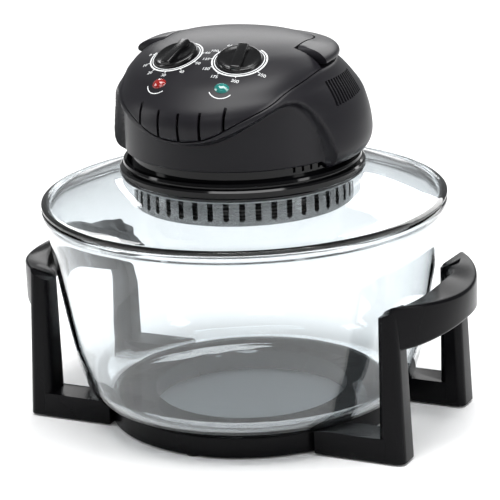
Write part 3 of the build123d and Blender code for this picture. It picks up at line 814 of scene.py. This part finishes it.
def controlFrame(shape, side, lift=0.0):
    x, y, z = shape["at"]
    place = Matrix.Translation((side * x * mm, y * mm, z * mm))
    tiltSide = Matrix.Rotation(radians(side * shape["tiltSide"]), 4, "Y")
    tilt = Matrix.Rotation(radians(shape["tiltBack"]), 4, "X") @ tiltSide
    return place @ tilt @ Matrix.Translation((0, 0, lift * mm))


def makeKnob(spec):
    r = knobShape["radius"]
    rim = [(0.01, 0), (r - 0.6, 0), (r, 0.4), (r - 0.2, 1.4), (r - 0.8, 2.2), (r - 1.7, 2.5),
           (r - 2.8, 2.3), (r - 4.4, 1.8), (r - 7, 1.4), (r - 10, 1.5), (5, 1.8), (0.01, 2.0)]
    disc = turned(spec["piece"], rim, 72, close=False)
    long, wide, tall = knobShape["bar"]
    foot = knobShape["barFoot"]
    bar = box("bar", (-long / 2, -wide / 2, foot), (long / 2, wide / 2, foot + tall))
    bpy.ops.object.mode_set(mode="EDIT")
    mesh = bmesh.from_edit_mesh(bar.data)
    for edge in mesh.edges:
        ends = edge.verts[0].co - edge.verts[1].co
        edge.select_set(abs(ends.z) > 4 * mm)
    bmesh.update_edit_mesh(bar.data)
    bpy.ops.mesh.bevel(offset=knobShape["barCorner"] * mm, segments=8)
    mesh = bmesh.from_edit_mesh(bar.data)
    narrow, pinch = knobShape["waist"]
    for vert in mesh.verts:
        if vert.co.z > knobShape["narrowAbove"] * mm:  # the grip narrows upwards and its waist is pinched
            vert.co.y *= narrow - pinch * cos(min(abs(vert.co.x) / (long * mm / 2), 1) * pi)
            vert.co.x *= knobShape["shorter"]
    bmesh.update_edit_mesh(bar.data)
    bpy.ops.object.mode_set(mode="OBJECT")
    useModifier(bar, "BEVEL", width=knobShape["barEdge"] * mm, segments=4, limit_method="ANGLE",
                angle_limit=radians(50))
    knob = joined([disc, bar], spec["piece"])
    turn = Matrix.Rotation(radians(spec["lean"]), 4, "Z")
    knob.matrix_world = controlFrame(knobShape, spec["side"], knobShape["lift"]) @ turn
    settle(knob)
    smooth(knob, 40)
    return knob


for bodyName, spec in knobs.items():
    dress(makeKnob(spec), finish["knob"], bodyName, [spec["node"]])

lensShape = {"at": (26.8, -87.0, 295.0), "tiltBack": 35.0, "tiltSide": 11.0, "size": (6.4, 5.4, 3.6),
             "sunk": 0.8, "facetEdge": 0.18}


def makeLens(name, side):
    wide, tall, proud = lensShape["size"]
    size = (wide * mm, tall * mm, proud * mm)
    bpy.ops.mesh.primitive_uv_sphere_add(segments=12, ring_count=8, radius=1, scale=size)
    lens = started(name)
    bpy.ops.object.mode_set(mode="EDIT")
    bpy.ops.mesh.select_all(action="SELECT")
    sole = (0, 0, -lensShape["sunk"] * mm)
    bpy.ops.mesh.bisect(plane_co=sole, plane_no=(0, 0, -1), clear_outer=True, use_fill=True)
    bpy.ops.object.mode_set(mode="OBJECT")
    lens.matrix_world = controlFrame(lensShape, side)
    settle(lens)
    useModifier(lens, "BEVEL", width=lensShape["facetEdge"] * mm, segments=2, limit_method="ANGLE",
                angle_limit=radians(8))
    return lens


dress(makeLens("redLens", -1), finish["red"], "head", ["red_lens"])
dress(makeLens("tealLens", 1), finish["teal"], "head", ["green_lens"])


ink = {
    "lift": 0.05, "thick": 0.12,
    "rings": [(20.9, 22.1), (19.2, 19.9)],
    "tick": (22.0, 23.5), "tickHalf": 0.9,  # the tick's half width in degrees
    "letter": 4.3, "numberRadius": 26.3, "longNumberRadius": 27.0,
    "lensRing": (9.8, 10.5), "lensArc": (205, 320), "lensTurn": 10,
    "widest": 271.0,  # no print lies below the head's widest level
}


def skinHeight(x, y):
    line = meridian(atan2(y, x))
    line = line[line[:, 1] > ink["widest"]]
    return np.interp(-sqrt(x * x + y * y), -line[:, 0], line[:, 1])


def printed(obj, frameOf):
    # lays flat artwork, drawn in a control's own plane, on the skin
    places = []
    for vert in obj.data.vertices:
        spot = frameOf @ vert.co
        places.append((spot.x, spot.y, (skinHeight(spot.x / mm, spot.y / mm) + ink["lift"]) * mm))
    obj.matrix_world = Matrix.Identity(4)
    obj.data.vertices.foreach_set("co", [c for place in places for c in place])
    obj.data.update()
    useModifier(obj, "SOLIDIFY", thickness=ink["thick"] * mm, offset=1)
    return obj


def inkArc(inner, outer, start, end, frameOf, steps=90):
    angles = [radians(start + (end - start) * i / steps) for i in range(steps + 1)]
    rows = [[(r * cos(a), r * sin(a), 0) for a in angles] for r in (outer, inner)]
    return printed(draped("inkArc", np.array(rows)), frameOf)


def inkNumber(text, radius, angle, frameOf):
    bpy.ops.object.text_add()
    label = bpy.context.object
    label.data.body = text
    label.data.size = ink["letter"] * mm
    label.data.align_x = "CENTER"
    label.data.align_y = "CENTER"
    bpy.ops.object.convert(target="MESH")
    label = bpy.context.object
    turn = radians(angle)
    label.data.transform(Matrix.Translation((radius * cos(turn) * mm, radius * sin(turn) * mm, 0)))
    return printed(label, frameOf)


# each dial's unprinted gap and the places of its numbers, in degrees anticlockwise from the right
scales = {
    "timerScale": {"side": -1, "gap": (98, 165),
                   "numbers": [("0", 172), ("10", 205), ("20", 238), ("30", 271), ("40", 304),
                               ("50", 337), ("60", 12)]},
    "thermostatScale": {"side": 1, "gap": (62, 118),
                        "numbers": [("65", 130), ("100", 159), ("125", 188), ("150", 217), ("175", 246),
                                    ("200", 285), ("250", 332)]},
}


def makeScale(name, spec):
    dial = controlFrame(knobShape, spec["side"])
    start, end = spec["gap"][1], spec["gap"][0] + 360
    parts = [inkArc(inner, outer, start, end, dial) for inner, outer in ink["rings"]]
    for text, angle in spec["numbers"]:
        parts.append(inkArc(*ink["tick"], angle - ink["tickHalf"], angle + ink["tickHalf"], dial, 2))
        radius = ink["longNumberRadius"] if len(text) == 3 else ink["numberRadius"]
        parts.append(inkNumber(text, radius, angle, dial))
    start, end = (a + ink["lensTurn"] * spec["side"] for a in ink["lensArc"])
    parts.append(inkArc(*ink["lensRing"], start, end, controlFrame(lensShape, spec["side"]), 40))
    return dress(joined(parts, name), finish["ink"], "head")


for scaleName, spec in scales.items():
    makeScale(scaleName, spec)
print("controls: knobs, lenses and scales")


# node, name of its rounded copy, and the radius of its edges in mm
softEdges = {
    "base_ring": ("standRing", 1.6),
    "leg_front_left": ("legFrontLeft", 1.8),
    "leg_front_right": ("legFrontRight", 1.8),
    "leg_rear_left": ("legRearLeft", 1.8),
    "leg_rear_right": ("legRearRight", 1.8),
}


def softened(nodeName, name, width):
    # the moulding as built, with the rounded edges its mould gives it
    obj = bpy.data.objects.new(name, nodes[nodeName].data.copy())
    scene.collection.objects.link(obj)
    obj.data.name = name
    cleanMesh(obj, 0.005 * mm)
    bpy.ops.object.mode_set(mode="EDIT")
    bpy.ops.mesh.select_all(action="SELECT")
    bpy.ops.mesh.dissolve_limited(angle_limit=radians(1))
    bpy.ops.object.mode_set(mode="OBJECT")
    useModifier(obj, "BEVEL", width=width * mm, segments=4, limit_method="ANGLE", angle_limit=radians(38),
                use_clamp_overlap=True)
    smooth(obj, 40)
    return obj


for nodeName, (name, width) in softEdges.items():
    dress(softened(nodeName, name, width), finish["stand"], "stand", [nodeName])

grip = {
    "centre": 88.0, "outer": 105.4, "inner": 85.5, "sweep": 48.0, "steps": 48,
    # height of the low edge, inner top and outer top, at the middle and where it runs into the posts
    "middle": (100.5, 132.8, 124.5), "end": (93.0, 121.0, 130.5),
    "round": 3.6,
}


def makeGrip(name, side):
    rows = []
    for i in range(grip["steps"] + 1):
        share = 2 * i / grip["steps"] - 1
        angle = radians(grip["sweep"]) * share
        heights = zip(grip["middle"], grip["end"])
        low, inside, outside = (m + (e - m) * eased(abs(share)) for m, e in heights)
        near, far = grip["inner"], grip["outer"]
        section = [(near, low), (far, low), (far, outside), (near, inside), (near, low)]
        rows.append([(side * (grip["centre"] + r * cos(angle)), r * sin(angle), z) for r, z in section])
    band = draped(name, np.array(rows))
    capEnds(band)
    useModifier(band, "BEVEL", width=grip["round"] * mm, segments=5, limit_method="ANGLE",
                angle_limit=radians(50))
    smooth(band, 50)
    return band


for name, side, nodeName in (("gripRight", 1, "side_grip_right"), ("gripLeft", -1, "side_grip_left")):
    dress(makeGrip(name, side), finish["stand"], "stand", [nodeName])
print("stand: ring, legs and grips")
